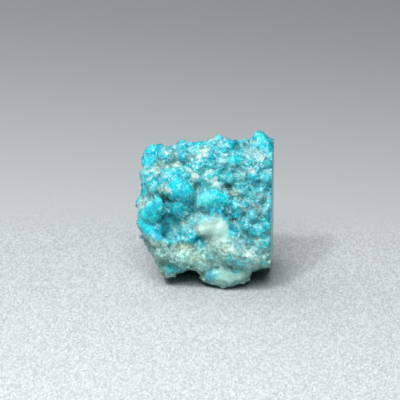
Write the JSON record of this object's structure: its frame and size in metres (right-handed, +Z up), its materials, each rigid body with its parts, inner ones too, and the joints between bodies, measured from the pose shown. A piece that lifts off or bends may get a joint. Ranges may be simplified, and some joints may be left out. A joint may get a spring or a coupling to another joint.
{
  "type": "rough turquoise specimen",
  "caption": "Small rough turquoise: a knobbly blue-green crust on pale broken quartz, sawn flat on one side, for display.",
  "frame": {"origin": "centre of the base, on the surface that the stone rests on", "axes": "+Z up, +X out of the sawn face, -Y towards the front that shows the blue crust and the pale tongue"},
  "size_m": [0.0206, 0.0186, 0.0217],
  "materials": {
    "turquoise": "rough crust with glossy beads, pale granular quartz and one sawn face"
  },
  "bodies": {
    "root": {"turquoise": "turquoise"}
  },
  "joints": []
}
